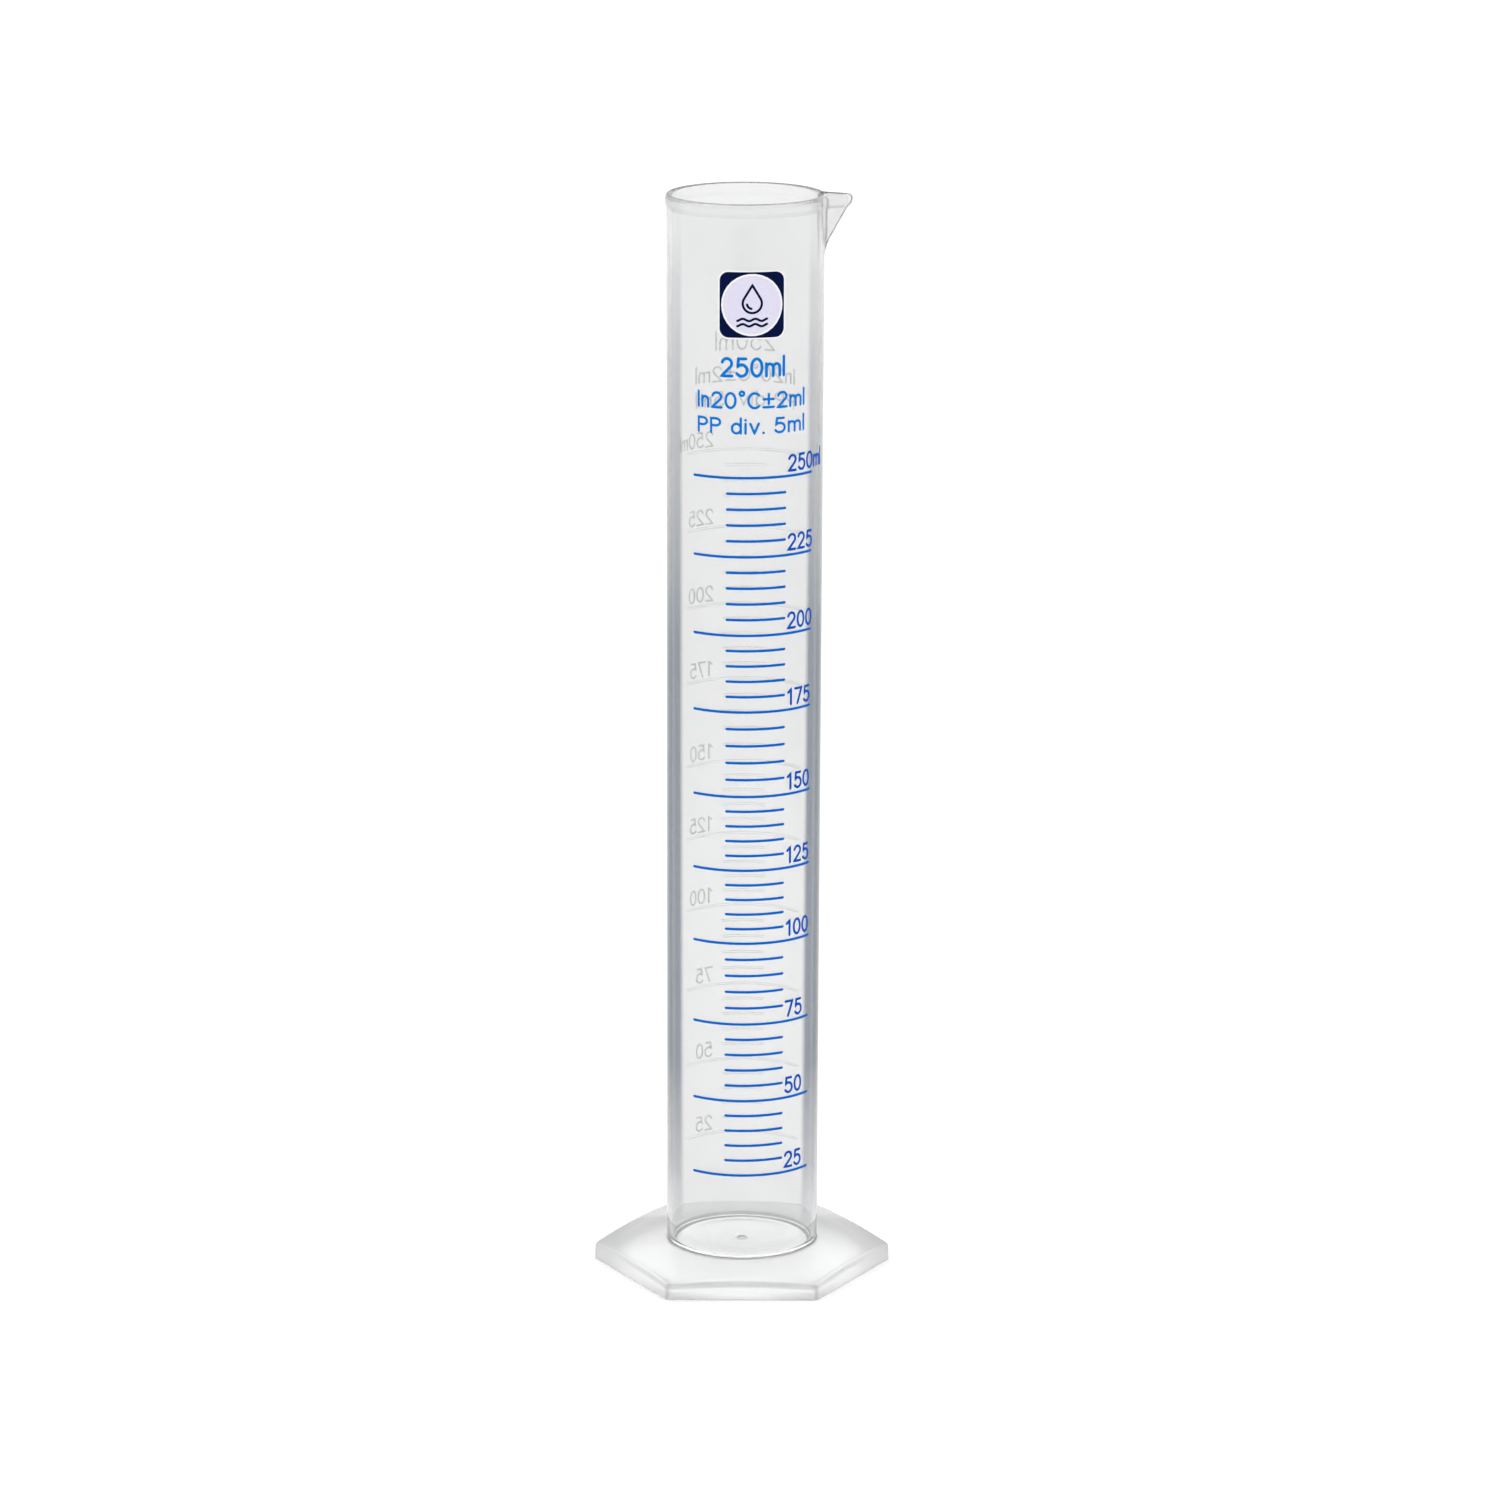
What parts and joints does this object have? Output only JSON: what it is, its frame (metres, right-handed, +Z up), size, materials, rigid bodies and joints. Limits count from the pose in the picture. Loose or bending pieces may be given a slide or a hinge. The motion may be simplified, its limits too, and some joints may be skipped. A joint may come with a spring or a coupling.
{
  "type": "graduated cylinder",
  "caption": "Tall translucent plastic measuring cylinder with a pouring spout, a printed blue volume scale and a hexagonal foot.",
  "frame": {"origin": "on the tube's axis, in the plane that the foot rests on", "axes": "+Z up along the tube's axis, +X towards the pouring spout and a corner of the foot, -Y towards the printed scale"},
  "size_m": [0.0806, 0.0704, 0.2945],
  "materials": {
    "tube_plastic": "translucent natural polypropylene, glossy with faint moulding haze",
    "foot_plastic": "translucent natural polypropylene, glossy",
    "scale_ink": "screen-printed blue ink, satin",
    "plate_ink": "screen-printed navy ink, satin"
  },
  "bodies": {
    "root": {"foot": "foot_plastic", "mark_025ml": "scale_ink", "mark_030ml": "scale_ink", "mark_035ml": "scale_ink", "mark_040ml": "scale_ink", "mark_045ml": "scale_ink", "mark_050ml": "scale_ink", "mark_055ml": "scale_ink", "mark_060ml": "scale_ink", "mark_065ml": "scale_ink", "mark_070ml": "scale_ink", "mark_075ml": "scale_ink", "mark_080ml": "scale_ink", "mark_085ml": "scale_ink", "mark_090ml": "scale_ink", "mark_095ml": "scale_ink", "mark_100ml": "scale_ink", "mark_105ml": "scale_ink", "mark_110ml": "scale_ink", "mark_115ml": "scale_ink", "mark_120ml": "scale_ink", "mark_125ml": "scale_ink", "mark_130ml": "scale_ink", "mark_135ml": "scale_ink", "mark_140ml": "scale_ink", "mark_145ml": "scale_ink", "mark_150ml": "scale_ink", "mark_155ml": "scale_ink", "mark_160ml": "scale_ink", "mark_165ml": "scale_ink", "mark_170ml": "scale_ink", "mark_175ml": "scale_ink", "mark_180ml": "scale_ink", "mark_185ml": "scale_ink", "mark_190ml": "scale_ink", "mark_195ml": "scale_ink", "mark_200ml": "scale_ink", "mark_205ml": "scale_ink", "mark_210ml": "scale_ink", "mark_215ml": "scale_ink", "mark_220ml": "scale_ink", "mark_225ml": "scale_ink", "mark_230ml": "scale_ink", "mark_235ml": "scale_ink", "mark_240ml": "scale_ink", "mark_245ml": "scale_ink", "mark_250ml": "scale_ink", "nameplate": "plate_ink", "vessel": "tube_plastic"}
  },
  "joints": []
}
